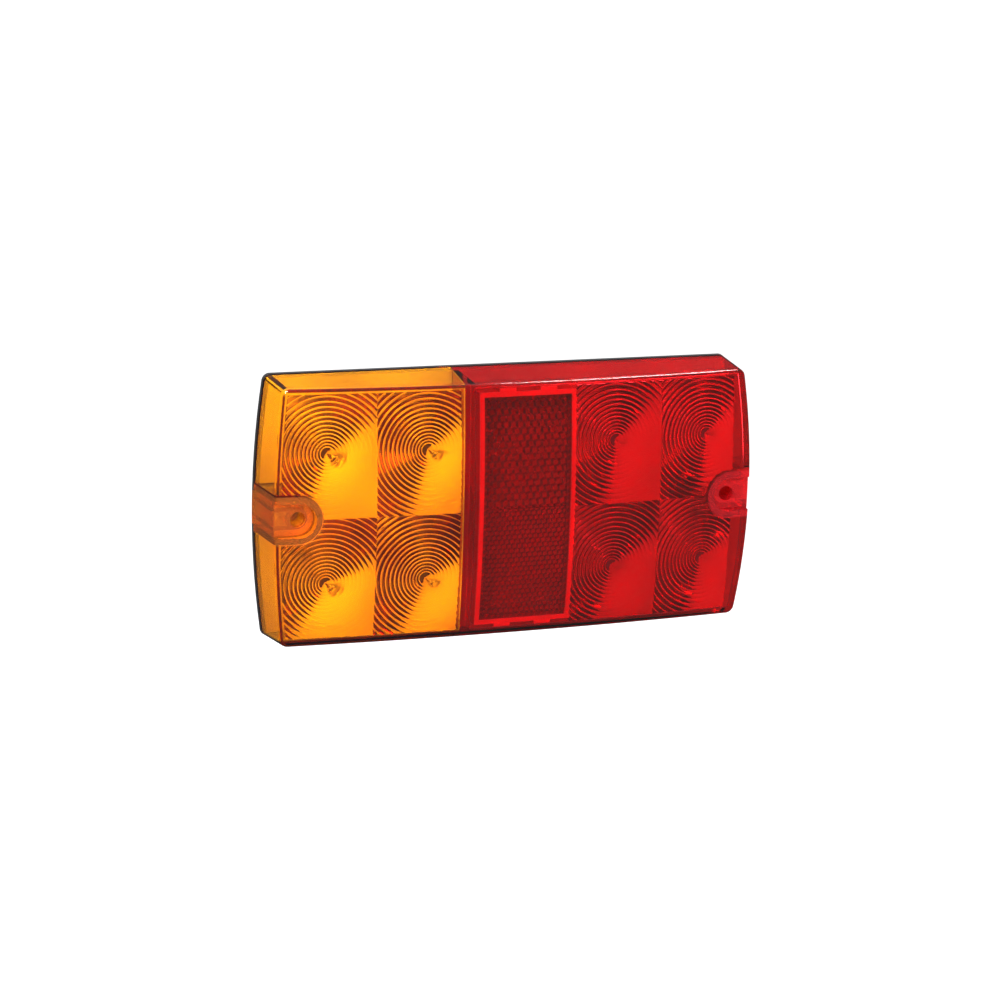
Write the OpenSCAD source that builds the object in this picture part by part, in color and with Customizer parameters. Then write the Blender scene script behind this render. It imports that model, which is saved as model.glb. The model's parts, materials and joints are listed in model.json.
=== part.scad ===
// Rectangular LED rear lamp for a trailer: amber indicator half, red stop and
// tail half with a reflex reflector, on a black base that screws to a flat panel.
// Frame: +X right seen from behind the trailer, +Z up, the lens faces -Y, and
// the origin is the centre of the base's back face, which lies in the plane Y = 0.
// All lengths are in millimetres and all angles in degrees.

/* [Body] */
// Overall width of the lamp across its bowed ends
body_w = 150; // [120:1:180]
// Overall height of the lamp
body_h = 78; // [65:1:95]
// Depth from the back face to the front edge at the corners
corner_d = 17; // [14:0.5:24]
// How far the middle of each end bulges past its corners
end_bow = 2.9; // [1:0.1:5]
// How far the front face crowns forward across the width
crown_across = 3.8; // [1:0.1:6]
// How far the front face crowns forward up the height
crown_up = 2.7; // [1:0.1:5]
// How far each side wall leans in between the back and the front edge
wall_lean = 1.3; // [0.4:0.1:2]
// Rounding of the four corner edges
corner_r = 2.4; // [1:0.1:4]

/* [Lens] */
// Thickness of the lens walls, ends and front
lens_wall = 1.7; // [1.5:0.1:2.2]
// Thickness of the lens wall around each screw pocket
pocket_wall = 2.2; // [1.8:0.1:2.6]
// X of the joint between the colours at the back of the lens
joint_back_x = -16; // [-20:0.5:-14]
// X of the joint between the colours at the front of the lens
joint_front_x = -18.4; // [-22:0.1:-15]
// X of the inner face of the red lens's web beside the joint
web_x = -14.4; // [-15.5:0.1:-13]
// X of the inner column of optics on each side of the middle
optic_inner_x = 28.9; // [24:0.1:32]
// X of the outer column of optics on each side of the middle
optic_outer_x = 58.4; // [52:0.1:62]
// Height of the upper and lower rows of optics above and below the middle
optic_z = 18.9; // [14:0.1:22]
// Radius of the small boss at the centre of each optic
optic_boss_r = 1.9; // [1:0.1:3]

/* [Screw pockets] */
// Distance of each fixing hole from the middle of the lamp
hole_x = 66.5; // [60:0.5:70]
// Radius of the fixing hole
hole_r = 2.25; // [1.6:0.05:2.75]
// Outer radius of the tube around the fixing hole
tube_r = 3.3; // [3:0.1:4]
// Half width of the screw pocket, and the radius of its round end
pocket_r = 5; // [4.2:0.1:6]
// Depth of the screw pocket below the front face
pocket_depth = 2.3; // [1.5:0.1:4]
// Thickness of the screw pocket's floor
pocket_floor = 2.8; // [2:0.1:3.5]

/* [Base] */
// Thickness of the base plate, whose edge shows behind the lens
base_t = 1.4; // [1.2:0.1:3]
// Height of the inner rim above the base plate, which lies behind the board's edge
rim_h = 1; // [0.6:0.1:1.1]
// Thickness of the inner rim
rim_t = 1.4; // [1:0.1:2]
// Radius of the bore through the cable grommet
cable_r = 2.6; // [2:0.1:3.5]
// X of the cable inlet
cable_x = 1.6; // [-5:0.1:5]
// Z of the cable inlet
cable_z = -13; // [-15:0.5:-11]

/* [Reflex reflector] */
// X of the reflector's edge beside the joint
reflex_x0 = -11.8; // [-12.5:0.1:-10]
// X of the reflector's edge beside the stop and tail optics
reflex_x1 = 15; // [12:0.1:16]
// Height of the reflector
reflex_h = 66; // [50:1:68]
// Thickness of the reflector panel with its prisms
reflex_t = 2; // [1.5:0.1:2.5]
// Wall thickness of the cover behind the reflector
cover_t = 1.3; // [0.8:0.1:2]

/* [Circuit board] */
// Thickness of the board
board_t = 1.6; // [1:0.1:2]
// Gap between the base plate and the board
board_gap = 1.2; // [1.1:0.1:2]
// Edge length of each LED package
led_w = 5; // [3:0.1:6]
// Radius of each LED's dome
led_dome_r = 2.1; // [1:0.05:2.2]

/* [Hidden] */
$fn = 96;
gap = 0.1;
far = 60;
overall_d = corner_d + crown_across + crown_up;
half_w = body_w / 2;
half_h = body_h / 2;
lean_rate = wall_lean / corner_d;
end_r = (half_h * half_h + end_bow * end_bow) / (2 * end_bow);
end_cx = half_w - end_r;
// The crowned front is part of a torus whose axis is vertical, behind the lamp.
plan_r = (half_w * half_w + crown_across * crown_across) / (2 * crown_across);
side_r = (half_h * half_h + crown_up * crown_up) / (2 * crown_up);
crown_axis_y = plan_r - overall_d;
crown_half_angle = 7;
crown_band = 46;
board_back = -base_t - board_gap;
board_front = board_back - board_t;
board_inset = lens_wall + 0.5;
rim_inset = lens_wall + 0.55;
seal_inset = 0.3;
seal_w = rim_inset - seal_inset;
seal_d = 0.6;
grommet_hub_r = 4.2;
grommet_flange_r = 6.2;
grommet_flange_t = 1.5;
grommet_neck_y = -7;
cover_back = board_front - 9.1;
screw_x = [-8.5, 11.7];
screw_z = [-30.5, 30.5];
screw_post_r = 3;
screw_shank_r = 1.4;
peg_x = 43.4;
peg_r = 1.1;
rest_z = 29;
pocket_floor_top = crown_y(hole_x, 0) + pocket_depth;
pocket_floor_under = pocket_floor_top + pocket_floor;
part_x = [-5.7, 8.9];
regulator_z = 22;
resistor_z = [10, 14.4];
capacitor_z = 3;
diode_z = -22;
terminal_z = -5;
terminal_x = [-6, -1, 4, 9];

// Y of the crowned front face above the point x, z
function crown_y(x, z) =
    let (rho = plan_r - side_r + sqrt(side_r * side_r - z * z))
    crown_axis_y - sqrt(rho * rho - x * x);

// Everything in front of back_y and behind the crowned front, set back by drop
module crown_solid(drop) {
    translate([0, crown_axis_y, 0])
        rotate([0, 0, -90 - crown_half_angle])
            rotate_extrude(angle = 2 * crown_half_angle, $fn = 720)
                intersection() {
                    translate([plan_r - side_r, 0])
                        circle(r = side_r - drop, $fn = 720);
                    translate([plan_r - crown_band, -far])
                        square([crown_band + 5, 2 * far]);
                }
}

// The space between the leaning top and bottom walls, moved in by inset
module top_bottom_solid(inset) {
    y0 = 1;
    y1 = -overall_d - 2;
    h0 = half_h - inset + lean_rate * y0;
    h1 = half_h - inset + lean_rate * y1;
    translate([-far - half_w, 0, 0])
        rotate([90, 0, 90])
            linear_extrude(height = 2 * (far + half_w))
                polygon([[y0, h0], [y0, -h0], [y1, -h1], [y1, h1]]);
}

// The space inside one bowed and leaning end wall, moved in by inset
module end_solid(inset) {
    depth = overall_d + 3;
    translate([end_cx, 1, 0])
        rotate([90, 0, 0])
            cylinder(r1 = end_r - inset + lean_rate,
                     r2 = end_r - inset + lean_rate * (1 - depth),
                     h = depth, $fn = 720);
}

// Cuts one corner edge of the lamp round; the edge leans in with the walls
module corner_cutter() {
    x0 = end_cx + sqrt(pow(end_r - corner_r, 2) - pow(half_h - corner_r, 2));
    x1 = end_cx + sqrt(pow(end_r - wall_lean - corner_r, 2)
                       - pow(half_h - wall_lean - corner_r, 2));
    lean_x = x1 - x0;
    length = sqrt(lean_x * lean_x + corner_d * corner_d + wall_lean * wall_lean);
    polar = acos(-wall_lean / length);
    turn = atan2(-corner_d, lean_x);
    arc_start = asin((half_h - corner_r) / (end_r - corner_r));
    reach = 3 * corner_r;
    translate([x0, 0, half_h - corner_r])
        rotate([0, polar, turn])
            translate([0, 0, -3])
                linear_extrude(height = overall_d + 8)
                    difference() {
                        polygon([[0, 0], [-reach, 0], [-reach, reach],
                                 [-reach * sin(arc_start), reach * cos(arc_start)]]);
                        circle(r = corner_r);
                    }
}

// The lamp's outer form, with its walls moved in by inset, its front set back
// by drop, and everything behind back_y cut away
module lamp_block(inset, drop, back_y) {
    intersection() {
        top_bottom_solid(inset);
        end_solid(inset);
        mirror([1, 0, 0])
            end_solid(inset);
        crown_solid(drop);
        translate([-far - half_w, back_y - far, -far])
            cube([2 * (far + half_w), far, 2 * far]);
    }
}

module rounded_block(back_y) {
    difference() {
        lamp_block(0, 0, back_y);
        for (mx = [0, 1])
            for (mz = [0, 1])
                mirror([mx, 0, 0])
                    mirror([0, 0, mz])
                        corner_cutter();
    }
}

// The outline of the lamp's back, moved in by inset, as a flat shape
module outline(inset) {
    intersection() {
        translate([end_cx, 0])
            circle(r = end_r - inset, $fn = 720);
        translate([-end_cx, 0])
            circle(r = end_r - inset, $fn = 720);
        translate([-half_w, -half_h + inset])
            square([body_w, body_h - 2 * inset]);
    }
}

// A slot with a round inner end, open towards the right end of the lamp
module slot(r) {
    translate([hole_x, 0])
        circle(r = r);
    translate([hole_x, -r])
        square([far, 2 * r]);
}

module both_slots(r) {
    slot(r);
    mirror([1, 0])
        slot(r);
}

// Extrudes a flat shape, drawn with X right and Y up, from y0 forward to y1
module forward(y0, y1) {
    translate([0, y0, 0])
        rotate([90, 0, 0])
            linear_extrude(height = y0 - y1)
                children();
}

// A closed band of width w that follows the lens wall, starting at inset
module wall_band(inset, w) {
    difference() {
        outline(inset);
        both_slots(pocket_r + inset);
        difference() {
            outline(inset + w);
            both_slots(pocket_r + inset + w);
        }
    }
}

// The flat band of the seal and its groove, which keeps inside the rounded corners
module seal_band(inset, w) {
    reach = half_w - end_bow + half_h - 0.64 * corner_r - inset;
    intersection() {
        wall_band(inset, w);
        polygon([[reach, 0], [0, reach], [-reach, 0], [0, -reach]]);
    }
}

// A cylinder that points forward from y0 to y1 at x, z
module forward_pin(x, z, r, y0, y1) {
    translate([x, y0, z])
        rotate([90, 0, 0])
            cylinder(r = r, h = y0 - y1);
}

// Both colours of the lens as one shell, before the joint divides it
module whole_lens() {
    difference() {
        union() {
            rounded_block(-base_t);
            // The end walls reach the back face inside the base's notches
            intersection() {
                lamp_block(0, 0, 0);
                forward(0, -base_t - 1)
                    both_slots(pocket_r - gap);
            }
        }
        // Light chamber, kept clear of the walls around the screw pockets
        difference() {
            lamp_block(lens_wall, lens_wall, 1);
            forward(1, -far)
                both_slots(pocket_r + pocket_wall);
        }
        // Recess in front of each pocket floor
        forward(pocket_floor_top, -far)
            both_slots(pocket_r);
        // Hollow behind each pocket floor, around the tube and its ribs
        difference() {
            intersection() {
                forward(1, pocket_floor_under)
                    both_slots(pocket_r);
                lamp_block(lens_wall, 0, 1);
            }
            for (side = [-1, 1]) {
                forward_pin(side * hole_x, 0, tube_r, 0, -far);
                for (edge = [-1, 1])
                    translate([side > 0 ? hole_x : -far - hole_x, -far, edge * 2.7 - 0.6])
                        cube([far, far - 0.6, 1.2]);
            }
        }
        for (side = [-1, 1])
            forward_pin(side * hole_x, 0, hole_r, 1, -far);
    }
    for (sx = [-1, 1])
        for (x = [optic_inner_x, optic_outer_x])
            for (z = [-optic_z, optic_z])
                optic_boss(sx * x, z);
}

// Small light-gathering boss on the inside of the front, behind one optic
module optic_boss(x, z) {
    front = crown_y(x, z) + lens_wall;
    forward_pin(x, z, optic_boss_r, front + 0.7, front - 0.6);
}

// Everything on the amber side of the leaning joint, moved away from it by back_off
module amber_side(back_off) {
    rate = (joint_front_x - joint_back_x) / overall_d;
    translate([0, 0, -far])
        linear_extrude(height = 2 * far)
            polygon([[-far - half_w, 2], [joint_back_x - 2 * rate - back_off, 2],
                     [joint_front_x + 2 * rate - back_off, -overall_d - 2],
                     [-far - half_w, -overall_d - 2]]);
}

module amber_lens() {
    color([1, 0.55, 0.05, 0.6])
        intersection() {
            whole_lens();
            amber_side(0);
        }
}

module red_lens() {
    color([0.85, 0.05, 0.1, 0.6]) {
        difference() {
            whole_lens();
            amber_side(-0.02);
        }
        // Web between the two light chambers, in front of the board
        difference() {
            intersection() {
                lamp_block(0.5, 0.5, board_front - gap);
                translate([web_x - 10, -far, -far])
                    cube([10, 2 * far, 2 * far]);
            }
            amber_side(-0.02);
        }
    }
}

// Prism panel that lies behind the red front, with a plain edge all round
module reflex_reflector() {
    edge = 1.2;
    color([0.75, 0.03, 0.06])
        difference() {
            intersection() {
                lamp_block(lens_wall + gap, lens_wall + gap, 0);
                forward(0, -far)
                    translate([reflex_x0, -reflex_h / 2])
                        square([reflex_x1 - reflex_x0, reflex_h]);
            }
            intersection() {
                crown_solid(lens_wall + gap + reflex_t);
                forward(1, -far)
                    translate([reflex_x0 - 1, -reflex_h / 2 - 1])
                        square([reflex_x1 - reflex_x0 + 2, reflex_h + 2]);
            }
            // Step between the plain edge and the prisms
            intersection() {
                crown_solid(lens_wall + gap + reflex_t - 0.5);
                forward(1, -far)
                    difference() {
                        translate([reflex_x0 - 1, -reflex_h / 2 - 1])
                            square([reflex_x1 - reflex_x0 + 2, reflex_h + 2]);
                        translate([reflex_x0 + edge, -reflex_h / 2 + edge])
                            square([reflex_x1 - reflex_x0 - 2 * edge, reflex_h - 2 * edge]);
                    }
            }
        }
}

// Cover that seals the air space behind the prisms, with its locating tabs
module reflex_cover() {
    outer_x0 = reflex_x0 - gap - cover_t;
    outer_w = reflex_x1 - reflex_x0 + 2 * (gap + cover_t);
    outer_h = reflex_h + 2 * (gap + cover_t);
    color([0.8, 0.1, 0.12])
        difference() {
            intersection() {
                lamp_block(lens_wall + gap, lens_wall + gap, cover_back);
                union() {
                    forward(0, -far)
                        translate([outer_x0, -outer_h / 2])
                            square([outer_w, outer_h]);
                    for (sz = [-1, 1])
                        for (x = [outer_x0 + 6, outer_x0 + outer_w - 11])
                            translate([x, cover_back - 9, sz * outer_h / 2 - 1])
                                cube([5, 9, 2]);
                }
            }
            forward(cover_back - cover_t, -far)
                translate([reflex_x0 - gap, -reflex_h / 2 - gap])
                    square([reflex_x1 - reflex_x0 + 2 * gap, reflex_h + 2 * gap]);
        }
}

module base_housing() {
    color([0.05, 0.05, 0.055])
        difference() {
            union() {
                // Back plate with the lamp's outline
                intersection() {
                    rounded_block(0);
                    translate([-far - half_w, -base_t, -far])
                        cube([2 * (far + half_w), base_t, 2 * far]);
                }
                // Rim that locates the lens from inside
                forward(-base_t + 0.5, -base_t - rim_h)
                    wall_band(rim_inset, rim_t);
                // Posts for the board's screws
                for (x = screw_x)
                    for (z = screw_z)
                        forward_pin(x, z, screw_post_r, -0.5, board_back);
                // Rests and locating pegs for the board
                for (sx = [-1, 1]) {
                    forward_pin(sx * peg_x, 0, 2.6, -0.5, board_back);
                    forward_pin(sx * peg_x, 0, peg_r, -0.5, board_front - 0.5);
                    for (sz = [-1, 1])
                        forward_pin(sx * peg_x, sz * rest_z, 2.6, -0.5, board_back);
                }
            }
            // Notches for the lens at the screw pockets
            forward(1, -far)
                both_slots(pocket_r);
            // Groove for the seal
            forward(-base_t + seal_d, -far)
                seal_band(seal_inset, seal_w);
            // Pilot holes
            for (x = screw_x)
                for (z = screw_z)
                    forward_pin(x, z, screw_shank_r + 0.02, -0.8, -far);
            // Cable inlet
            forward_pin(cable_x, cable_z, grommet_hub_r + 0.05, 1, -far);
        }
}

module lens_seal() {
    color([0.8, 0.8, 0.78]) {
        forward(-base_t + seal_d - 0.02, -base_t + 0.02)
            seal_band(seal_inset + 0.03, seal_w - 0.06);
        // Bead that rises between the lens wall and the rim
        forward(-base_t + 0.1, -base_t - rim_h)
            difference() {
                outline(lens_wall + 0.22);
                outline(rim_inset - 0.03);
                both_slots(pocket_r + pocket_wall + 0.05);
            }
    }
}

module led_board() {
    color([0.93, 0.94, 0.92])
        forward(board_back, board_front)
            difference() {
                outline(board_inset);
                both_slots(pocket_r + pocket_wall + 0.5);
                for (x = screw_x)
                    for (z = screw_z)
                        translate([x, z])
                            circle(r = 1.7);
                for (sx = [-1, 1])
                    translate([sx * peg_x, 0])
                        circle(r = peg_r + 0.1);
                translate([cable_x, cable_z])
                    circle(r = grommet_flange_r + 0.4);
            }
}

// One LED: square package, reflector ring and silicone dome
module led(x, z) {
    translate([x, board_front - gap / 2, z])
        rotate([90, 0, 0]) {
            translate([-led_w / 2, -led_w / 2, 0])
                cube([led_w, led_w, 1.4]);
            cylinder(r = led_w / 2 - 0.3, h = 1.6);
            translate([0, 0, 1.3])
                intersection() {
                    sphere(r = led_dome_r);
                    cylinder(r = led_dome_r + 1, h = led_dome_r + 1);
                }
        }
}

module amber_led(x, z) {
    color([1, 0.8, 0.35])
        led(x, z);
}

module red_led(x, z) {
    color([1, 0.85, 0.8])
        led(x, z);
}

// Pan-head screws that hold the board to its posts, each with a cross recess
module board_screws() {
    head_r = 2.6;
    head_h = 1.5;
    color([0.75, 0.75, 0.76])
        for (x = screw_x)
            for (z = screw_z)
                difference() {
                    union() {
                        forward_pin(x, z, screw_shank_r, -1, board_front - 0.2);
                        forward_pin(x, z, head_r, board_front - 0.02, board_front - head_h);
                    }
                    for (turn = [0, 90])
                        translate([x, board_front - head_h + 0.35, z])
                            rotate([0, turn, 0])
                                cube([3, 0.8, 0.6], center = true);
                }
}

// Rubber grommet: hub in the base, flange inside, bore for a round cable
module cable_grommet() {
    color([0.1, 0.1, 0.1])
        difference() {
            union() {
                forward_pin(cable_x, cable_z, grommet_hub_r, 0, -base_t - 1);
                forward_pin(cable_x, cable_z, grommet_flange_r,
                            -base_t, -base_t - grommet_flange_t);
                forward_pin(cable_x, cable_z, cable_r + 1, -base_t - 1, grommet_neck_y);
            }
            forward_pin(cable_x, cable_z, cable_r, 1, -far);
        }
}

// Current regulator: moulded body, metal tab and three leads
module regulator(x, z) {
    translate([x, board_front - gap / 2, z])
        rotate([90, 0, 0]) {
            translate([-3.25, -3, 0.1])
                cube([6.5, 6, 2.2]);
            translate([-2.7, 2.5, 0])
                cube([5.4, 2, 0.6]);
            for (lead = [-1, 0, 1])
                translate([lead * 2.2 - 0.4, -4.6, 0])
                    cube([0.8, 2, 0.5]);
        }
}

module amber_regulator() {
    color([0.12, 0.12, 0.13])
        regulator(part_x[0], regulator_z);
}

module red_regulator() {
    color([0.12, 0.12, 0.13])
        regulator(part_x[1], regulator_z);
}

// Chip resistor: ceramic block with a raised middle and plated ends
module resistor(x, z) {
    translate([x, board_front - gap / 2, z])
        rotate([90, 0, 0]) {
            translate([-3.15, -1.6, 0])
                cube([6.3, 3.2, 0.55]);
            translate([-2.5, -1.5, 0])
                cube([5, 3, 0.7]);
        }
}

module amber_resistors() {
    color([0.1, 0.1, 0.1])
        for (z = resistor_z)
            resistor(part_x[0], z);
}

module red_resistors() {
    color([0.1, 0.1, 0.1])
        for (z = resistor_z)
            resistor(part_x[1], z);
}

// Diodes against reversed polarity, one in each supply
module reverse_diodes() {
    color([0.15, 0.15, 0.16])
        for (x = part_x)
            translate([x, board_front - gap / 2, diode_z])
                rotate([90, 0, 0]) {
                    translate([-2.3, -1.8, 0.1])
                        cube([4.6, 3.6, 2.2]);
                    for (sx = [-1, 1])
                        translate([sx * 2.3 - 0.5, -1, 0])
                            cube([1, 2, 1]);
                }
}

// Can capacitors on square feet
module capacitors() {
    color([0.8, 0.8, 0.82])
        for (x = part_x)
            translate([x, board_front - gap / 2, capacitor_z])
                rotate([90, 0, 0]) {
                    cylinder(r = 3, h = 5.2);
                    translate([-3.2, -3.2, 0])
                        cube([6.4, 6.4, 0.9]);
                }
}

// Solder terminals for the earth, indicator, stop and tail wires
module wire_terminals() {
    color([0.85, 0.7, 0.35])
        for (x = terminal_x)
            translate([x, board_front - gap / 2, terminal_z])
                rotate([90, 0, 0])
                    difference() {
                        union() {
                            translate([-1.5, -1.5, 0])
                                cube([3, 3, 0.5]);
                            cylinder(r = 1.2, h = 2.6, $fn = 48);
                        }
                        translate([0, 0, 0.8])
                            cylinder(r = 0.75, h = 3, $fn = 48);
                    }
}

base_housing();
amber_lens();
red_lens();
reflex_reflector();
reflex_cover();
led_board();
amber_led(-optic_outer_x, optic_z);  // amber_led_1
amber_led(-optic_inner_x, optic_z);  // amber_led_2
amber_led(-optic_outer_x, -optic_z);  // amber_led_3
amber_led(-optic_inner_x, -optic_z);  // amber_led_4
red_led(optic_inner_x, optic_z);  // red_led_1
red_led(optic_outer_x, optic_z);  // red_led_2
red_led(optic_inner_x, -optic_z);  // red_led_3
red_led(optic_outer_x, -optic_z);  // red_led_4
lens_seal();
board_screws();
cable_grommet();
amber_regulator();
red_regulator();
amber_resistors();
red_resistors();
reverse_diodes();
capacitors();
wire_terminals();
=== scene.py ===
"""Trailer rear lamp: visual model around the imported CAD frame, with camera, light and floor."""

import json
import math

import bmesh
import bpy
from mathutils import Matrix, Vector


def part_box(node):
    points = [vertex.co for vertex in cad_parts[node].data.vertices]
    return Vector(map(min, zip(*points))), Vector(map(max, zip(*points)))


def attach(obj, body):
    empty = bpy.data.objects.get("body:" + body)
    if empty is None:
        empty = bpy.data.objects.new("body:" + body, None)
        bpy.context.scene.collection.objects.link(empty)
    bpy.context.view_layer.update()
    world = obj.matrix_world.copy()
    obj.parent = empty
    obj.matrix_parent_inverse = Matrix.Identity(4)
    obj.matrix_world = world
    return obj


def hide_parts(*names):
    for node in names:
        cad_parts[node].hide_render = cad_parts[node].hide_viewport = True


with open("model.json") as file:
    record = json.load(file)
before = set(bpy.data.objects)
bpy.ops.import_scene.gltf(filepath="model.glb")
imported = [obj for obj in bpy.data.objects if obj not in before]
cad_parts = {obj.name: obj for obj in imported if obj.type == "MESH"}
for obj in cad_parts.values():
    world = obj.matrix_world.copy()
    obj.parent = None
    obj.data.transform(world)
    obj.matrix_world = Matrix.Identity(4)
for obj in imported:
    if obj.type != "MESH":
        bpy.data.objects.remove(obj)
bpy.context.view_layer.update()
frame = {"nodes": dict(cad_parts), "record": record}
nodes = frame["nodes"]
scene = bpy.context.scene

# ---------------------------------------------------------------- dimensions
# The lamp's own dimensions, in millimetres, as in the CAD source.
MM = 0.001
HALF_W, HALF_H = 75.0, 39.0
CORNER_D, CROWN_ACROSS, CROWN_UP = 17.0, 3.8, 2.7
OVERALL_D = CORNER_D + CROWN_ACROSS + CROWN_UP
END_BOW, WALL_LEAN, CORNER_R = 2.9, 1.3, 2.4
LEAN_RATE = WALL_LEAN / CORNER_D
END_R = (HALF_H**2 + END_BOW**2) / (2 * END_BOW)
END_CX = HALF_W - END_R
PLAN_R = (HALF_W**2 + CROWN_ACROSS**2) / (2 * CROWN_ACROSS)
SIDE_R = (HALF_H**2 + CROWN_UP**2) / (2 * CROWN_UP)
CROWN_AXIS_Y = PLAN_R - OVERALL_D
LENS_WALL, POCKET_WALL, BASE_T = 1.7, 2.2, 1.4
JOINT_BACK_X, JOINT_FRONT_X, WEB_X = -16.0, -18.4, -14.4
JOINT_RATE = (JOINT_FRONT_X - JOINT_BACK_X) / OVERALL_D
OPTIC_X, OPTIC_Z = (28.9, 58.4), 18.9
HOLE_X, HOLE_R, TUBE_R, POCKET_R = 66.5, 2.25, 3.3, 5.0
POCKET_DEPTH, POCKET_FLOOR = 2.3, 2.8
BOARD_BACK, BOARD_FRONT = -2.6, -4.2
REFLEX_X0, REFLEX_X1, REFLEX_HALF_H = -11.8, 15.0, 33.0
# The reflector panel's gap behind the lens, plain edge and thickness, and the prisms' spacings
PANEL_GAP, PANEL_EDGE, PANEL_T = 0.07, 1.0, 0.5
PRISM_COARSE, PRISM_FINE = 1.27, 0.93


def crown_y(x, z):
    """Y of the crowned front above the point x, z."""
    rho = PLAN_R - SIDE_R + math.sqrt(SIDE_R**2 - z * z)
    return CROWN_AXIS_Y - math.sqrt(rho * rho - x * x)


POCKET_TOP = crown_y(HOLE_X, 0) + POCKET_DEPTH
POCKET_UNDER = POCKET_TOP + POCKET_FLOOR

# ------------------------------------------------------------- mesh building


def obj_from_bm(bm, name):
    """An object in the scene from a bmesh, which is freed."""
    bmesh.ops.recalc_face_normals(bm, faces=bm.faces)
    mesh = bpy.data.meshes.new(name)
    bm.to_mesh(mesh)
    bm.free()
    ob = bpy.data.objects.new(name, mesh)
    scene.collection.objects.link(ob)
    return ob


def obj_from_data(verts, faces, name):
    """An object from points in millimetres."""
    bm = bmesh.new()
    made = [bm.verts.new((x * MM, y * MM, z * MM)) for x, y, z in verts]
    for f in faces:
        bm.faces.new([made[i] for i in f])
    return obj_from_bm(bm, name)


def boolean(ob, cutter, operation="DIFFERENCE"):
    """Applies an exact boolean to ob and removes the cutter."""
    mod = ob.modifiers.new("cut", "BOOLEAN")
    mod.operation = operation
    mod.solver = "EXACT"
    mod.object = cutter
    bpy.context.view_layer.update()
    graph = bpy.context.evaluated_depsgraph_get()
    mesh = bpy.data.meshes.new_from_object(ob.evaluated_get(graph))
    ob.modifiers.clear()
    old = ob.data
    ob.data = mesh
    bpy.data.meshes.remove(old)
    bpy.data.objects.remove(cutter)
    return ob


TOP_STEPS, CORNER_STEPS, END_STEPS = 40, 7, 24


def quarter_point(k, o, rc):
    """Point k of a quarter of the lamp's outline, moved in by o, with corner radius rc."""
    h, r = HALF_H - o, END_R - o
    cz = h - rc
    cx = END_CX + math.sqrt((r - rc) ** 2 - cz * cz)
    if k < TOP_STEPS:
        return cx * k / TOP_STEPS, h
    k -= TOP_STEPS
    a1 = math.atan2(cz, cx - END_CX)
    if k < CORNER_STEPS:
        a = math.pi / 2 + (a1 - math.pi / 2) * k / CORNER_STEPS
        return cx + rc * math.cos(a), cz + rc * math.sin(a)
    k -= CORNER_STEPS
    a = a1 * (1 - k / END_STEPS)
    return END_CX + r * math.cos(a), r * math.sin(a)


QUARTER = TOP_STEPS + CORNER_STEPS + END_STEPS + 1


def whole_loop(quarter):
    """A closed loop from the points of its upper right quarter, as (x, y, z)."""
    loop = list(quarter)
    loop += [(x, y, -z) for x, y, z in reversed(quarter[:-1])]
    loop += [(-x, y, -z) for x, y, z in quarter[1:]]
    loop += [(-x, y, z) for x, y, z in reversed(quarter[1:-1])]
    return loop


def lamp_block(name, inset, drop, y_back, edge_r, rc, cap_steps=22):
    """A closed solid with the lamp's leaning walls, moved in by inset, a rounded front edge
    and the crowned front set back by drop."""
    loops = []
    edge = []
    for k in range(QUARTER):
        y = -CORNER_D
        for _ in range(4):
            x, z = quarter_point(k, inset - LEAN_RATE * y, rc)
            y = crown_y(x, z) + drop + edge_r
        edge.append(y)
    for f in (0.0, 0.25, 0.5, 0.75, 1.0):
        quarter = []
        for k in range(QUARTER):
            y = y_back + f * (edge[k] - y_back)
            x, z = quarter_point(k, inset - LEAN_RATE * y, rc)
            quarter.append((x, y, z))
        loops.append(whole_loop(quarter))
    arc = 6
    for i in range(1, arc + 1):
        a = math.pi / 2 * i / arc
        quarter = []
        for k in range(QUARTER):
            o = inset - LEAN_RATE * edge[k] + edge_r * (1 - math.cos(a))
            x, z = quarter_point(k, o, rc)
            quarter.append((x, crown_y(x, z) + drop + edge_r * (1 - math.sin(a)), z))
        loops.append(whole_loop(quarter))
    last = loops[-1]
    for i in range(1, cap_steps):
        t = 1 - i / cap_steps
        loops.append([(x * t, crown_y(x * t, z * t) + drop, z * t) for x, _, z in last])
    n = len(last)
    verts = [p for loop in loops for p in loop]
    faces = []
    for j in range(len(loops) - 1):
        a, b = j * n, (j + 1) * n
        faces += [(a + i, a + (i + 1) % n, b + (i + 1) % n, b + i) for i in range(n)]
    faces.append(tuple(range(n - 1, -1, -1)))
    verts.append((0, crown_y(0, 0) + drop, 0))
    a = (len(loops) - 1) * n
    faces += [(a + i, a + (i + 1) % n, len(verts) - 1) for i in range(n)]
    return obj_from_data(verts, faces, name)


def prism(name, outline, y0, y1):
    """A solid between the planes y0 and y1 with the outline given as (x, z) points."""
    n = len(outline)
    verts = [(x, y0, z) for x, z in outline] + [(x, y1, z) for x, z in outline]
    faces = [tuple(range(n - 1, -1, -1)), tuple(range(n, 2 * n))]
    faces += [(i, (i + 1) % n, n + (i + 1) % n, n + i) for i in range(n)]
    return obj_from_data(verts, faces, name)


def slot_outline(side, r, x_end, steps=40):
    """A slot with a round inner end about the fixing hole, open towards the end of the lamp."""
    pts = [(side * x_end, -r)]
    for i in range(steps + 1):
        a = -math.pi / 2 - math.pi * i / steps
        pts.append((side * (HOLE_X + r * math.cos(a)), r * math.sin(a)))
    pts.append((side * x_end, r))
    return pts


def circle_outline(x, z, r, steps=64):
    """A circle as (x, z) points."""
    return [
        (x + r * math.cos(2 * math.pi * i / steps), z + r * math.sin(2 * math.pi * i / steps))
        for i in range(steps)
    ]


# ------------------------------------------------------------------ the lens

# Thickness of the lens front at the valleys of the rings and at their ridges
RING_T, RIDGE_T = 1.25, 2.75
# Slope of a ring's long face at its ridge and at its valley
RING_SLOPE_IN, RING_SLOPE_OUT = 0.82, 1.12
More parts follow.
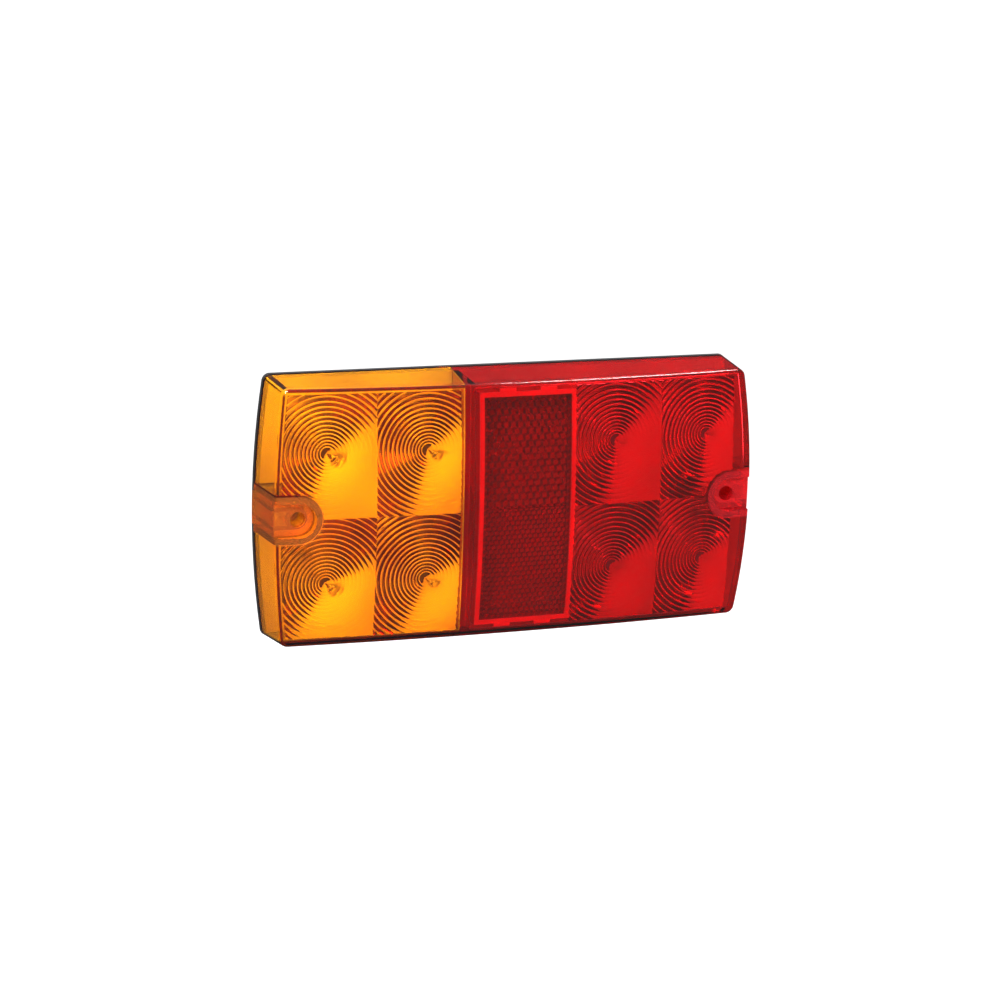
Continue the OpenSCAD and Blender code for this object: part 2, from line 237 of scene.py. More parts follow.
# Width of the first ring, the growth from ring to ring and the widest ring
PITCH_FIRST, PITCH_GROWTH, PITCH_LAST = 0.85, 0.06, 1.5
# The pointed boss over an LED: radius and height above the valleys
BOSS = ((0, 1.45), (0.12, 1.43), (0.4, 1.22), (0.9, 0.84), (1.3, 0.5), (1.65, 0.2), (1.9, 0))
# Each cell row of the optics: side, edge at the joint, edge at the end wall
CELL_ROWS = ((-1, 18.9, 71.2), (1, 16.2, 67.8))
# Edges of the inner and outer cells where they meet, and the cells' top
CELL_INNER, CELL_OUTER, CELL_TOP = 43.7, 43.8, 35.5
FRONT_EDGE_R = 0.7
# Painted pool of light, a fixed stand-in for the light an optic gathers: its spread, its extra
# share and the share between the optics, and where the painted patch crosses the lens
PAINTED_POOL_R, PAINTED_POOL_MORE, PAINTED_POOL_LEAST = 6.2, 0.85, 0.64
PAINTED_POOL_DX, PAINTED_POOL_DZ = -4.4, 11.5
# How far the plastic of the screw pockets is satin rather than clear
SATIN = 0.1
# Depths between which the front's tint gives way to the walls' painted lighter tint
TINT_FROM, TINT_TO = -18.6, -17
PLASTIC_IOR = 1.49


def ring_profile(r_max):
    """Radius and thickness along one optic: a pointed boss over the LED, then convex rings."""
    pts = [(r, RING_T + t) for r, t in BOSS]
    r, pitch = BOSS[-1][0], PITCH_FIRST
    while r < r_max:
        mean = min((RING_SLOPE_IN + RING_SLOPE_OUT) / 2, (RIDGE_T - RING_T - 0.03) / pitch)
        scale = 2 * mean / (RING_SLOPE_IN + RING_SLOPE_OUT)
        lo, hi = RING_SLOPE_IN * scale, RING_SLOPE_OUT * scale
        pts.append((r + 0.03, RING_T + mean * pitch - 0.12))
        for u in (0.12, 0.22, 0.4, 0.6, 0.8, 1.0):
            drop = pitch * (lo * u + (hi - lo) * u * u / 2)
            soft = 0.03 if u == 0.12 else 0.0
            pts.append((r + u * pitch, RING_T + mean * pitch - drop - soft))
        r += pitch
        pitch = min(PITCH_LAST, pitch + PITCH_GROWTH)
    return pts


def clip(bm, x0, x1, z0, z1):
    """Keeps what lies inside a rectangle."""
    for co, no in (
        ((x0, 0, 0), (-1, 0, 0)),
        ((x1, 0, 0), (1, 0, 0)),
        ((0, 0, z0), (0, 0, -1)),
        ((0, 0, z1), (0, 0, 1)),
    ):
        bmesh.ops.bisect_plane(
            bm,
            geom=bm.verts[:] + bm.edges[:] + bm.faces[:],
            plane_co=Vector(co) * MM,
            plane_no=no,
            clear_outer=True,
            dist=1e-9,
        )


def close_behind(bm, y_at):
    """Closes an open sheet into a solid, with its other side at y_at(x, z)."""
    rim = [e for e in bm.edges if e.is_boundary]
    made = bmesh.ops.extrude_edge_only(bm, edges=rim)["geom"]
    for v in made:
        if isinstance(v, bmesh.types.BMVert):
            v.co.y = y_at(v.co.x / MM, v.co.z / MM) * MM
    bmesh.ops.edgeloop_fill(bm, edges=[e for e in bm.edges if e.is_boundary])


def optic_cutter(cx, cz, x0, x1, z0, z1):
    """The air behind one optic's rings, as a closed solid over its rectangular cell."""
    steps = 128
    r_max = max(math.hypot(x - cx, z - cz) for x in (x0, x1) for z in (z0, z1))
    profile = ring_profile(r_max + 0.5)
    bm = bmesh.new()

    def vert(r, t, a):
        x, z = cx + r * math.cos(a), cz + r * math.sin(a)
        return bm.verts.new((x * MM, (crown_y(x, z) + t) * MM, z * MM))

    prev = [vert(0, profile[0][1], 0)]
    for r, t in profile[1:]:
        ring = [vert(r, t, 2 * math.pi * i / steps) for i in range(steps)]
        for i in range(steps):
            j = (i + 1) % steps
            if len(prev) == 1:
                bm.faces.new((prev[0], ring[i], ring[j]))
            else:
                bm.faces.new((prev[i], ring[i], ring[j], prev[j]))
        prev = ring
    clip(bm, x0, x1, z0, z1)
    close_behind(bm, lambda x, z: -8)
    return bm


def merged(name, parts):
    """One object from several bmeshes that don't touch."""
    out = bmesh.new()
    for bm in parts:
        mesh = bpy.data.meshes.new("part")
        bm.to_mesh(mesh)
        bm.free()
        out.from_mesh(mesh)
        bpy.data.meshes.remove(mesh)
    return obj_from_bm(out, name)


def lens_shell():
    """Both colours of the lens as one solid, before the joint divides it."""
    shell = lamp_block("shell", 0, 0, 0, FRONT_EDGE_R, CORNER_R)
    h = HALF_H + 5
    notch = POCKET_R - 0.1
    slab = [(-90, h), (-90, notch)]
    slab += reversed(slot_outline(-1, notch, 90)[1:-1])
    slab += [(-90, -notch), (-90, -h), (90, -h), (90, -notch)]
    slab += slot_outline(1, notch, 90)[1:-1]
    slab += [(90, notch), (90, h)]
    boolean(shell, prism("slab", slab, 1, -BASE_T))
    chamber = lamp_block("chamber", LENS_WALL, RIDGE_T, 1, 0.5, 0.4, cap_steps=8)
    for side in (-1, 1):
        boolean(chamber, prism("wall", slot_outline(side, POCKET_R + POCKET_WALL, 90), 5, -40))
    # The red lens's web along the joint, in front of the board
    y0, y1 = BOARD_FRONT - 0.1, -40
    left0 = JOINT_BACK_X - JOINT_RATE * y0 + 0.02
    left1 = JOINT_BACK_X - JOINT_RATE * y1 + 0.02
    verts = [(x, y, z) for z in (-50, 50) for x, y in
             ((left0, y0), (WEB_X, y0), (WEB_X, y1), (left1, y1))]
    faces = [(0, 1, 2, 3), (7, 6, 5, 4), (0, 4, 5, 1), (1, 5, 6, 2), (2, 6, 7, 3), (3, 7, 4, 0)]
    boolean(chamber, obj_from_data(verts, faces, "joint_walls"))
    boolean(shell, chamber)
    # Ring optics in their rectangular cells
    cells = []
    for sx, joint_x, wall_x in CELL_ROWS:
        for col, (xa, xb) in enumerate(((joint_x, CELL_INNER), (CELL_OUTER, wall_x))):
            for sz in (-1, 1):
                xs = sorted((sx * xa, sx * xb))
                zs = sorted((sz * 0.05, sz * CELL_TOP))
                cells.append(optic_cutter(sx * OPTIC_X[col], sz * OPTIC_Z, *xs, *zs))
    relief = merged("relief", cells)
    for side in (-1, 1):
        boolean(
            relief,
            prism("keep", slot_outline(side, POCKET_R + POCKET_WALL + 0.1, 90), 5, -40),
        )
    field = [quarter_point(k, LENS_WALL + 1.7, 0.8) for k in range(QUARTER)]
    field = [(x, z) for x, _, z in whole_loop([(x, 0, z) for x, z in field])]
    boolean(relief, prism("field", field, 5, -40), "INTERSECT")
    boolean(shell, relief)
    # Screw pockets
    for side in (-1, 1):
        boolean(shell, prism("recess", slot_outline(side, POCKET_R, 90), POCKET_TOP, -60))
        hollow = slot_outline(side, POCKET_R, HALF_W - LENS_WALL - 0.5)
        boolean(shell, prism("hollow", hollow, 1, POCKET_UNDER))
        for edge in (-1, 1):
            z = edge * 2.7
            rib = [(side * HOLE_X, z - 0.6), (side * 73.3, z - 0.6),
                   (side * 73.3, z + 0.6), (side * HOLE_X, z + 0.6)]
            boolean(shell, prism("rib", rib, -0.6, POCKET_UNDER - 0.5), "UNION")
        boolean(
            shell,
            prism("tube", circle_outline(side * HOLE_X, 0, TUBE_R), 0, POCKET_UNDER - 0.5),
            "UNION",
        )
        boolean(shell, prism("hole", circle_outline(side * HOLE_X, 0, HOLE_R), 2, -60))
    return shell


def prism_field(x0, x1, z0, z1, spacing, base):
    """Cube-corner prisms over one field of the reflector, as a closed solid."""
    bm = bmesh.new()
    dx = spacing * math.sqrt(3) / 2
    rise = spacing / math.sqrt(2)
    cols, rows = int((x1 - x0) / dx) + 3, int((z1 - z0) / spacing) + 3
    lattice = {}
    for i in range(cols):
        for j in range(-i // 2 - 1, rows - i // 2):
            x = x0 + (i - 1) * dx
            z = z0 + (j - 0.5) * spacing + i * spacing / 2
            # Three interleaved sets of points at three levels make cube corners
            y = crown_y(x, z) + base + rise * ((j + 2 * i) % 3)
            lattice[i, j] = bm.verts.new((x * MM, y * MM, z * MM))
    for (i, j), v in lattice.items():
        if (i, j + 1) in lattice and (i + 1, j) in lattice:
            bm.faces.new((v, lattice[i, j + 1], lattice[i + 1, j]))
            if (i + 1, j + 1) in lattice:
                bm.faces.new(
                    (lattice[i, j + 1], lattice[i + 1, j + 1], lattice[i + 1, j])
                )
    clip(bm, x0, x1, z0, z1)
    close_behind(bm, lambda x, z: crown_y(x, z) + base - 0.35)
    return bm


def reflector_panel():
    """The reflex reflector: a thin panel with two fields of cube-corner prisms behind it."""
    x0, x1, half = REFLEX_X0, REFLEX_X1, REFLEX_HALF_H
    front, edge, thick = RIDGE_T + PANEL_GAP, PANEL_EDGE, PANEL_T
    steps_x, steps_z = 14, 34
    bm = bmesh.new()
    rows = []
    for j in range(steps_z + 1):
        z = -half + 2 * half * j / steps_z
        row = []
        for i in range(steps_x + 1):
            x = x0 + (x1 - x0) * i / steps_x
            row.append(bm.verts.new((x * MM, (crown_y(x, z) + front) * MM, z * MM)))
        rows.append(row)
    for j in range(steps_z):
        for i in range(steps_x):
            bm.faces.new((rows[j][i], rows[j][i + 1], rows[j + 1][i + 1], rows[j + 1][i]))
    bmesh.ops.solidify(bm, geom=bm.faces[:], thickness=thick * MM)
    panel = obj_from_bm(bm, "reflector")
    ys = [v.co.y for v in panel.data.vertices]
    if min(ys) < (crown_y(0, 0) + front - 0.1) * MM:
        for v in panel.data.vertices:
            v.co.y += thick * MM
    base = front + thick + 0.1
    fields = [
        prism_field(x0 + edge, x1 - edge, 0.02, half - edge, PRISM_COARSE, base),
        prism_field(x0 + edge, x1 - edge, edge - half, -0.02, PRISM_FINE, base),
    ]
    boolean(panel, merged("prisms", fields), "UNION")
    return finish_mesh(panel)


def lathe(bm, profile, steps, mat, cx=0.0, cz=0.0):
    """Faces of a body of revolution about the +Y line through cx, cz, from (radius, y) points."""
    prev = None
    for r, y in profile:
        if r < 1e-6:
            ring = [bm.verts.new((cx * MM, y * MM, cz * MM))]
        else:
            ring = [
                bm.verts.new((
                    (cx + r * math.cos(2 * math.pi * i / steps)) * MM,
                    y * MM,
                    (cz + r * math.sin(2 * math.pi * i / steps)) * MM,
                ))
                for i in range(steps)
            ]
        if prev is not None:
            for i in range(steps):
                j = (i + 1) % steps
                if len(prev) == 1:
                    f = bm.faces.new((prev[0], ring[i], ring[j]))
                elif len(ring) == 1:
                    f = bm.faces.new((prev[i], ring[0], prev[j]))
                else:
                    f = bm.faces.new((prev[i], ring[i], ring[j], prev[j]))
                f.material_index = mat
        prev = ring


def add_box(bm, lo, hi, mat, bevel=0.0):
    """A box between two corners, in millimetres, with its edges rounded by bevel."""
    box = bmesh.ops.create_cube(bm, size=1.0)
    verts = box["verts"]
    for v in verts:
        v.co = Vector([(a + (b - a) * (c + 0.5)) * MM for a, b, c in zip(lo, hi, v.co)])
    faces = {f for v in verts for f in v.link_faces}
    for f in faces:
        f.material_index = mat
    if bevel:
        edges = list({e for v in verts for e in v.link_edges})
        bmesh.ops.bevel(bm, geom=edges, offset=bevel * MM, segments=2, profile=0.5,
                        affect="EDGES", material=mat)


def led_piece(name, x, z):
    """One LED: white package, plated pads, silvered cup, dark chip and a clear dome."""
    y = BOARD_FRONT - 0.05
    bm = bmesh.new()
    add_box(bm, (x - 2.5, y - 1.3, z - 2.5), (x + 2.5, y, z + 2.5), 0, 0.18)
    for sx in (-1, 1):
        for dz in (-1.3, 1.3):
            add_box(bm, (x + sx * 2.46 - 0.1, y - 0.75, z + dz - 0.55),
                    (x + sx * 2.46 + 0.1, y - 0.02, z + dz + 0.55), 1, 0.05)
    lathe(bm, [(2.38, y - 1.2), (2.38, y - 1.55), (2.26, y - 1.62), (2.12, y - 1.55),
               (1.9, y - 1.36)], 40, 1, x, z)
    lathe(bm, [(1.9, y - 1.36), (0, y - 1.36)], 40, 2, x, z)
    add_box(bm, (x - 0.5, y - 1.6, z - 0.5), (x + 0.5, y - 1.34, z + 0.5), 2, 0.04)
    dome = [(0, y - 1.42), (2.04, y - 1.42)]
    dome += [(2.08 * math.cos(a), y - 1.5 - 1.8 * math.sin(a))
             for a in (math.pi / 2 * i / 9 for i in range(9))]
    dome.append((0, y - 3.3))
    lathe(bm, dome, 40, 3, x, z)
    return obj_from_bm(bm, name)


def finish_mesh(ob, angle=22):
    """Cleans a mesh, shades it smooth and keeps edges sharper than angle, in degrees."""
    bm = bmesh.new()
    bm.from_mesh(ob.data)
    bmesh.ops.remove_doubles(bm, verts=bm.verts, dist=1e-7)
    bmesh.ops.dissolve_degenerate(bm, edges=bm.edges, dist=1e-8)
    bmesh.ops.triangulate(
        bm, faces=[f for f in bm.faces if len(f.verts) > 4], ngon_method="BEAUTY"
    )
    bmesh.ops.recalc_face_normals(bm, faces=bm.faces)
    bm.to_mesh(ob.data)
    bm.free()
    ob.data.polygons.foreach_set("use_smooth", [True] * len(ob.data.polygons))
    ob.data.set_sharp_from_angle(angle=math.radians(angle))
    return ob


def half_of(shell, name, keep_left, gap):
    """The part of the shell on one side of the leaning joint."""
    bm = bmesh.new()
    bm.from_mesh(shell.data)
    no = Vector((1, JOINT_RATE, 0)).normalized()
    co = Vector(((JOINT_BACK_X + gap) * MM, 0, 0))
    cut = bmesh.ops.bisect_plane(
        bm,
        geom=bm.verts[:] + bm.edges[:] + bm.faces[:],
        plane_co=co,
        plane_no=no,
        clear_outer=keep_left,
        clear_inner=not keep_left,
        dist=1e-8,
    )
    edges = [e for e in cut["geom_cut"] if isinstance(e, bmesh.types.BMEdge)]
    bmesh.ops.edgenet_fill(bm, edges=[e for e in edges if e.is_boundary])
    return finish_mesh(obj_from_bm(bm, name))


# ----------------------------------------------------------------- materials


class Nodes:
    """Short calls for building one material's node tree."""

    def __init__(self, name):
        self.mat = bpy.data.materials.new(name)
        self.mat.use_nodes = True
        self.tree = self.mat.node_tree
        self.tree.nodes.clear()
        self.out = self.tree.nodes.new("ShaderNodeOutputMaterial")
        self.coords = self.tree.nodes.new("ShaderNodeTexCoord").outputs["Object"]

    def add(self, kind, **values):
        node = self.tree.nodes.new("ShaderNode" + kind)
        for key, value in values.items():
            if hasattr(node, key):
                setattr(node, key, value)
            else:
                self.set(node, key.replace("_", " "), value)
        return node

    def set(self, node, socket, value):
        target = next(s for s in node.inputs if s.name.lower() == socket.lower())
        if isinstance(value, bpy.types.NodeSocket):
            self.tree.links.new(value, target)
        else:
            target.default_value = value

    def noise(self, scale, detail=3, rough=0.55, coords=None):
        n = self.add("TexNoise", scale=scale, detail=detail, roughness=rough)
        self.set(n, "Vector", coords or self.coords)
        return n.outputs["Fac"]

    def remap(self, fac, lo, hi, start=0.3, end=0.7):
        n = self.add("MapRange")
        self.set(n, "Value", fac)
        for key, value in (("From Min", start), ("From Max", end), ("To Min", lo), ("To Max", hi)):
            self.set(n, key, value)
        return n.outputs["Result"]

    def blend(self, fac, a, b):
        n = self.tree.nodes.new("ShaderNodeMix")
        n.data_type = "RGBA"
        self.tree.links.new(fac, n.inputs["Factor"])
        for socket, value in ((n.inputs[6], a), (n.inputs[7], b)):
            if isinstance(value, bpy.types.NodeSocket):
                self.tree.links.new(value, socket)
            else:
                socket.default_value = (*value, 1)
        return n.outputs[2]

    def bump(self, height, strength, distance):
        n = self.add("Bump", strength=strength, distance=distance)
        self.set(n, "Height", height)
        return n.outputs["Normal"]

    def calc(self, operation, a, b=0.0):
        n = self.add("Math", operation=operation)
        for socket, value in zip(n.inputs, (a, b)):
            if isinstance(value, bpy.types.NodeSocket):
                self.tree.links.new(value, socket)
            else:
                socket.default_value = value
        return n.outputs[0]

    def principled(self, **values):
        n = self.add("BsdfPrincipled")
        for key, value in values.items():
            if key == "base_color" and not isinstance(value, bpy.types.NodeSocket):
                value = (*value, 1)
            self.set(n, key.replace("_", " "), value)
        return n

    def surface(self, shader):
        self.tree.links.new(shader.outputs[0], self.out.inputs["Surface"])
        return self.mat


def lens_plastic(name, tint, shadow_tint, absorb, density, frosted=None, walls=None):
    """Clear tinted plastic: polished, faintly uneven, with light reaching what is behind it.
    A lens half, which has a frosted colour, is satin in its screw pocket, and the light passing
    it has a painted pool of light near each ring optic's middle. Its walls may have a painted
    lighter tint than its front, standing in for the light they catch."""
    m = Nodes(name)
    wave = m.noise(90, 2)
    fine = m.noise(2600, 3)
    rough = m.remap(fine, 0.02, 0.07)
    normal = m.bump(wave, 0.03, 0.001)
    # Painted light: the walls get a lighter tint than the front, standing in for the light they
    # catch
    if walls:
        depth = m.add("SeparateXYZ")
        m.set(depth, "Vector", m.coords)
        share = m.remap(depth.outputs["Y"], 0.0, 1.0, TINT_FROM * MM, TINT_TO * MM)
        tint = m.blend(share, tint, walls)
    p = m.principled(
        base_color=tint,
        roughness=rough,
        ior=PLASTIC_IOR,
        transmission_weight=1.0,
        normal=normal,
    )
    path = m.tree.nodes.new("ShaderNodeLightPath")
    clear = m.tree.nodes.new("ShaderNodeBsdfTransparent")
    clear.inputs["Color"].default_value = (*shadow_tint, 1)
    body = p
    if frosted:
        # Painted pool of light: the light passing the lens is made stronger near each optic's
        # middle
        m.tree.links.new(painted_pool_gain(m, shadow_tint), clear.inputs["Color"])
        satin = m.tree.nodes.new("ShaderNodeBsdfDiffuse")
        satin.inputs["Color"].default_value = (*frosted, 1)
        body = m.tree.nodes.new("ShaderNodeMixShader")
        m.tree.links.new(pocket_share(m), body.inputs[0])
        m.tree.links.new(p.outputs[0], body.inputs[1])
        m.tree.links.new(satin.outputs[0], body.inputs[2])
    mix = m.tree.nodes.new("ShaderNodeMixShader")
    m.tree.links.new(path.outputs["Is Shadow Ray"], mix.inputs[0])
    m.tree.links.new(body.outputs[0], mix.inputs[1])
    m.tree.links.new(clear.outputs[0], mix.inputs[2])
    vol = m.tree.nodes.new("ShaderNodeVolumeAbsorption")
    vol.inputs["Color"].default_value = (*absorb, 1)
    vol.inputs["Density"].default_value = density
    m.tree.links.new(vol.outputs[0], m.out.inputs["Volume"])
    return m.surface(mix)


def pocket_share(m):
    """How satin the plastic is: SATIN within the wall around each screw pocket, else nought."""
    parts = m.add("SeparateXYZ")
    m.set(parts, "Vector", m.coords)
    out = m.calc("ABSOLUTE", parts.outputs["X"])
    dx = m.calc("MAXIMUM", m.calc("SUBTRACT", HOLE_X * MM, out), 0.0)
    z = parts.outputs["Z"]
    r2 = m.calc("ADD", m.calc("MULTIPLY", dx, dx), m.calc("MULTIPLY", z, z))
    edge = POCKET_R + POCKET_WALL
    return m.remap(m.calc("SQRT", r2), SATIN, 0.0, (edge - 0.3) * MM, (edge + 0.1) * MM)


def painted_pool_gain(m, tint):
    """The tint of light passing the lens, with a painted pool of light near each optic's middle.
    """
    parts = m.add("SeparateXYZ")
    m.set(parts, "Vector", m.coords)
    ax = m.calc("ABSOLUTE", m.calc("SUBTRACT", parts.outputs["X"], PAINTED_POOL_DX * MM))
    near = [m.calc("ABSOLUTE", m.calc("SUBTRACT", ax, x * MM)) for x in OPTIC_X]
    dx = m.calc("MINIMUM", *near)
    az = m.calc("ABSOLUTE", m.calc("SUBTRACT", parts.outputs["Z"], PAINTED_POOL_DZ * MM))
    dz = m.calc("SUBTRACT", az, OPTIC_Z * MM)
    r2 = m.calc("ADD", m.calc("MULTIPLY", dx, dx), m.calc("MULTIPLY", dz, dz))
    fall = m.calc("EXPONENT", m.calc("MULTIPLY", r2, -1 / (PAINTED_POOL_R * MM) ** 2))
    gain = m.calc("MULTIPLY_ADD", fall, PAINTED_POOL_MORE)
    gain.node.inputs[2].default_value = PAINTED_POOL_LEAST
    scaled = m.add("VectorMath", operation="SCALE")
    scaled.inputs[0].default_value = tint
    m.tree.links.new(gain, scaled.inputs["Scale"])
    return scaled.outputs[0]


def plain(name, color, color2, rough, scale=400, bump=0.1, metallic=0.0, scuff=0.0):
    """A moulded or metal surface with small changes of colour, roughness and height, and with
    fine scuff marks where scuff is above nought."""
    m = Nodes(name)
    cloud = m.noise(60, 4)
    grain = m.noise(scale, 3)
    base = m.blend(m.remap(cloud, 0, 1), color, color2)
    rough_map = m.remap(grain, rough * 0.8, min(1, rough * 1.2))
    if scuff:
        stretch = m.add("Mapping")
        m.set(stretch, "Vector", m.coords)
        stretch.inputs["Scale"].default_value = (40, 300, 900)
        stretch.inputs["Rotation"].default_value = (0.1, 0.2, 0.5)
        streak = m.noise(1, 4, 0.6, stretch.outputs[0])
        patch = m.remap(m.noise(25, 2), 0, scuff, 0.45, 0.65)
        mark = m.add("Math", operation="MULTIPLY")
        m.tree.links.new(m.remap(streak, 0, 1, 0.58, 0.72), mark.inputs[0])
        m.tree.links.new(patch, mark.inputs[1])
        lighter = tuple(min(1, 1.6 * c + 0.03) for c in color2)
        base = m.blend(mark.outputs[0], base, lighter)
    p = m.principled(
        base_color=base,
        roughness=rough_map,
        normal=m.bump(grain, bump, 0.0002),
        metallic=metallic,
    )
    return m.surface(p)


def assign(ob, mat):
    ob.data.materials.clear()
    ob.data.materials.append(mat)


# The last colour of the amber and red plastics is the walls' painted lighter tint, standing in for
# the light the walls catch
amber = lens_plastic(
    "amber_plastic", (0.76, 0.51, 0.015), (0.97, 0.97, 0.2), (0.84, 0.38, 0.02), 400,
    (0.95, 0.26, 0.03), (0.76, 0.69, 0.02))
red = lens_plastic(
    "red_plastic", (0.55, 0.016, 0.024), (0.46, 0.1, 0.13), (0.97, 0.05, 0.06), 100,
    (0.7, 0.018, 0.028), (0.6, 0.022, 0.03))
reflector = lens_plastic(
    "reflector_plastic", (1.0, 0.5, 0.5), (0.98, 0.6, 0.6), (0.98, 0.5, 0.5), 60)
base_mat = plain("base_plastic", (0.018, 0.018, 0.019), (0.03, 0.03, 0.032), 0.42, 2600, 0.35,
                 scuff=0.35)
board_mat = plain("board", (0.86, 0.86, 0.84), (0.8, 0.81, 0.8), 0.4, 2500, 0.05)
led_mat = plain("led", (0.85, 0.78, 0.5), (0.9, 0.85, 0.6), 0.2, 2500, 0.05)
cover_mat = plain("cover_plastic", (0.64, 0.032, 0.042), (0.57, 0.027, 0.036), 0.3, 2500, 0.05)
rubber = plain("grommet_rubber", (0.045, 0.045, 0.047), (0.065, 0.065, 0.067), 0.62, 1500, 0.4,
               scuff=0.5)
seal_mat = plain("seal_rubber", (0.72, 0.72, 0.7), (0.66, 0.66, 0.64), 0.5, 1200, 0.15)
steel = plain("screw_steel", (0.6, 0.6, 0.6), (0.5, 0.5, 0.52), 0.3, 2000, 0.1, 1.0, scuff=0.3)
chip = plain("chip_plastic", (0.02, 0.02, 0.022), (0.03, 0.03, 0.03), 0.5, 4000, 0.2)
resistor = plain("resistor_body", (0.03, 0.03, 0.03), (0.02, 0.02, 0.02), 0.25, 2000, 0.1)
can = plain("can_aluminium", (0.8, 0.8, 0.82), (0.7, 0.7, 0.72), 0.3, 2000, 0.1, 1.0, scuff=0.2)
brass = plain("terminal_brass", (0.75, 0.6, 0.3), (0.7, 0.55, 0.3), 0.3, 2000, 0.1, 1.0)
BY_SLOT = {
    "base_plastic": base_mat, "board": board_mat, "led": led_mat, "cover_plastic": cover_mat,
    "grommet_rubber": rubber, "seal_rubber": seal_mat, "screw_steel": steel,
    "chip_plastic": chip, "resistor_body": resistor, "can_aluminium": can,
    "terminal_brass": brass, "amber_plastic": amber, "red_plastic": red,
    "reflector_plastic": reflector,
}
led_white = plain("led_package", (0.86, 0.86, 0.84), (0.8, 0.8, 0.77), 0.35, 4000, 0.05)
led_silver = plain("led_plating", (0.8, 0.8, 0.8), (0.72, 0.72, 0.7), 0.25, 4000, 0.05, 1.0)
led_chip = plain("led_chip", (0.05, 0.025, 0.012), (0.09, 0.05, 0.02), 0.3, 6000, 0.05)
led_clear = lens_plastic("led_dome", (0.95, 0.93, 0.85), (1, 1, 1), (0.9, 0.85, 0.7), 40)
for part in frame["record"]["subparts"]:
    assign(nodes[part["node"]], BY_SLOT[part["material_slot"]])

# ------------------------------------------------------------------- pieces

shell = lens_shell()
amber_piece = half_of(shell, "amber_lens_shell", True, 0)
red_piece = half_of(shell, "red_lens_shell", False, 0.02)
bpy.data.objects.remove(shell)
panel = reflector_panel()
panel.name = "reflex_prism_panel"
for piece, node, slot, mat in (
    (amber_piece, "amber_lens", "amber_plastic", amber),
    (red_piece, "red_lens", "red_plastic", red),
    (panel, "reflex_reflector", "reflector_plastic", reflector),
):
    assign(piece, mat)
    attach(piece, "root")
    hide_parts(node)

for colour in ("amber", "red"):
    for number in (1, 2, 3, 4):
        node = f"{colour}_led_{number}"
        lo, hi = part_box(node)
        middle = (lo + hi) / 2 / MM
        led = finish_mesh(led_piece(f"{node}_detail", middle.x, middle.z), 35)
        for mat in (led_white, led_silver, led_chip, led_clear):
            led.data.materials.append(mat)
        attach(led, "root")
        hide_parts(node)

# ------------------------------------------------------- camera, light, floor

# How bright the room is in front of the lamp, behind it and overhead, and how much brighter the
# rear is to light that comes through the lens
ROOM_FRONT, ROOM_REAR, ROOM_UP, ROOM_BEHIND = 0.32, 0.1, 0.8, 1.15

# The camera's turn from straight in front, its height angle and its roll, in degrees, and the
# point on the lamp's back plane that it looks at and its distance from there, in millimetres
CAM_TURN, CAM_HEIGHT, CAM_ROLL = -20.509, 13.842, 1.621
CAM_TARGET, CAM_DISTANCE = Vector((1.24, 0, -2.63)), 820.1
CAM_LENS = 99.24

cam_data = bpy.data.cameras.new("camera")
cam_data.sensor_width = 36
cam_data.lens = CAM_LENS
cam = bpy.data.objects.new("camera", cam_data)
scene.collection.objects.link(cam)
turn = Matrix.Rotation(math.radians(CAM_TURN), 4, "Z")
turn = turn @ Matrix.Rotation(math.radians(90 - CAM_HEIGHT), 4, "X")
turn = turn @ Matrix.Rotation(math.radians(CAM_ROLL), 4, "Z")
back = turn.to_3x3() @ Vector((0, 0, CAM_DISTANCE))
cam.matrix_world = Matrix.Translation((CAM_TARGET + back) * MM) @ turn
scene.camera = cam

world = bpy.data.worlds.new("world")
world.use_nodes = True
# The camera sees an even white studio; the lamp is lit by a softer room, which is brightest
# overhead and dimmest behind the lamp
tree = world.node_tree
seen = tree.nodes["Background"]
seen.inputs["Color"].default_value = (1, 1, 1, 1)
seen.inputs["Strength"].default_value = 1.1
coords = tree.nodes.new("ShaderNodeTexCoord")
split = tree.nodes.new("ShaderNodeSeparateXYZ")
tree.links.new(coords.outputs["Generated"], split.inputs[0])


def world_range(socket, lo, hi, to_lo, to_hi):
    node = tree.nodes.new("ShaderNodeMapRange")
    node.interpolation_type = "SMOOTHSTEP"
    tree.links.new(socket, node.inputs[0])
    for i, value in enumerate((lo, hi, to_lo, to_hi)):
        node.inputs[i + 1].default_value = value
    return node.outputs[0]


path = tree.nodes.new("ShaderNodeLightPath")


def world_math(operation, a, b):
    node = tree.nodes.new("ShaderNodeMath")
    node.operation = operation
    tree.links.new(a, node.inputs[0])
    tree.links.new(b, node.inputs[1])
    return node.outputs[0]


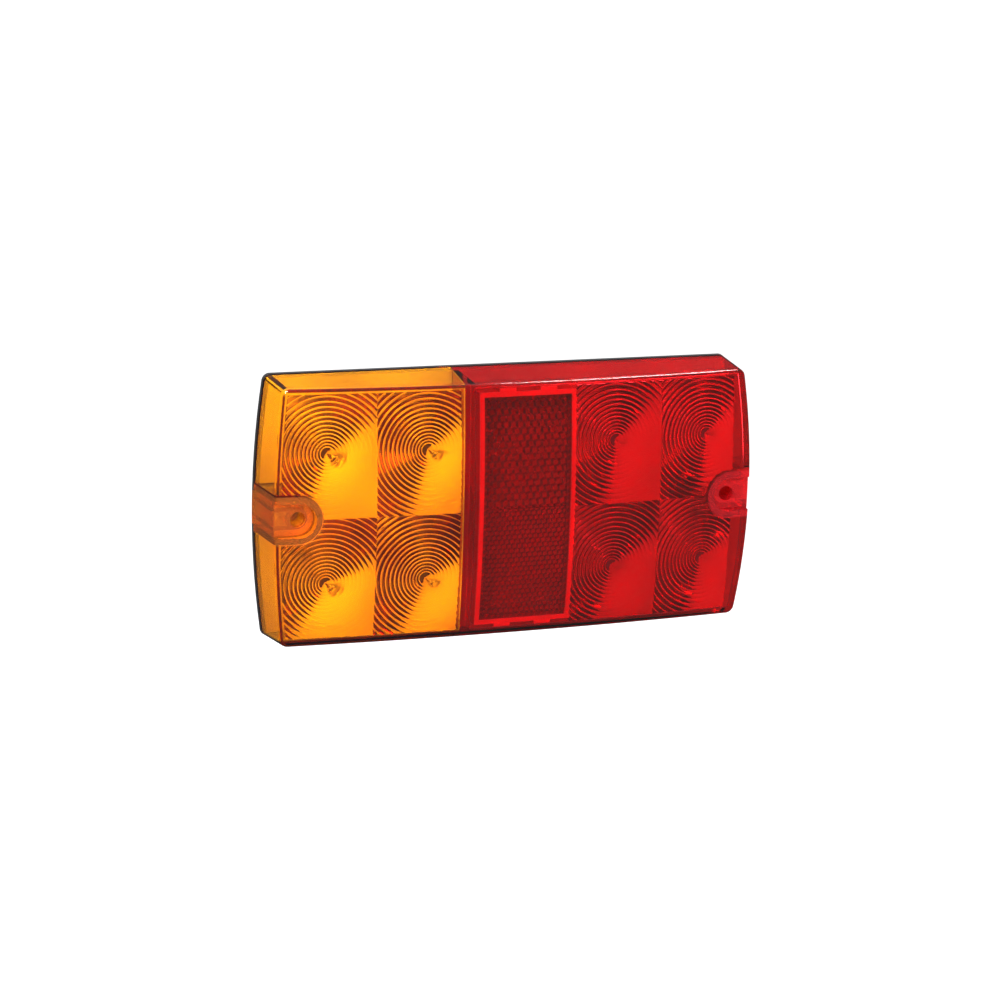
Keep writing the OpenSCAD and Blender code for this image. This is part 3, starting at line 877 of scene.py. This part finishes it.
sky = world_range(split.outputs["Z"], 0.3, 0.9, 0.0, ROOM_UP)
around = world_range(split.outputs["Y"], -0.6, 0.2, ROOM_FRONT, ROOM_REAR)
behind = world_range(split.outputs["Y"], 0.1, 0.6, 0.0, ROOM_BEHIND)
through = world_math("MULTIPLY", behind, path.outputs["Is Transmission Ray"])
total = world_math("ADD", world_math("ADD", sky, around), through)
room = tree.nodes.new("ShaderNodeBackground")
tree.links.new(total, room.inputs["Strength"])
mix = tree.nodes.new("ShaderNodeMixShader")
tree.links.new(path.outputs["Is Camera Ray"], mix.inputs[0])
tree.links.new(room.outputs[0], mix.inputs[1])
tree.links.new(seen.outputs[0], mix.inputs[2])
tree.links.new(mix.outputs[0], tree.nodes["World Output"].inputs["Surface"])
scene.world = world
scene.view_settings.view_transform = "Standard"
scene.cycles.max_bounces = 20
scene.cycles.transmission_bounces = 20
scene.cycles.glossy_bounces = 8


def area_light(name, place, target, size, power):
    data = bpy.data.lights.new(name, "AREA")
    data.shape = "DISK"
    data.size = size
    data.energy = power
    lamp = bpy.data.objects.new(name, data)
    lamp.location = place
    lamp.rotation_euler = (Vector(target) - Vector(place)).to_track_quat("-Z", "Y").to_euler()
    scene.collection.objects.link(lamp)
    return lamp


area_light("key", (-0.55, -0.9, 0.85), (0, 0, 0), 0.4, 44)
area_light("top", (0.5, -0.25, 0.95), (0, 0, 0), 0.35, 12)
below = area_light("below", (0.2, -0.7, -0.55), (0, 0, 0), 0.45, 12.5)
side = area_light("side", (0.95, -0.3, 0.1), (0, 0, 0), 0.5, 17)
below.visible_glossy = side.visible_glossy = False
below.visible_transmission = False

floor = prism("floor", [(-5000, -604), (5000, -604), (5000, -600), (-5000, -600)], -500, 9000)
floor_mat = plain("floor", (0.92, 0.92, 0.92), (0.9, 0.9, 0.9), 0.7, 40, 0.0)
glow = floor_mat.node_tree.nodes["Principled BSDF"]
glow.inputs["Emission Color"].default_value = (1, 1, 1, 1)
glow.inputs["Emission Strength"].default_value = 0.6
assign(floor, floor_mat)
floor.visible_glossy = False
floor.visible_transmission = False
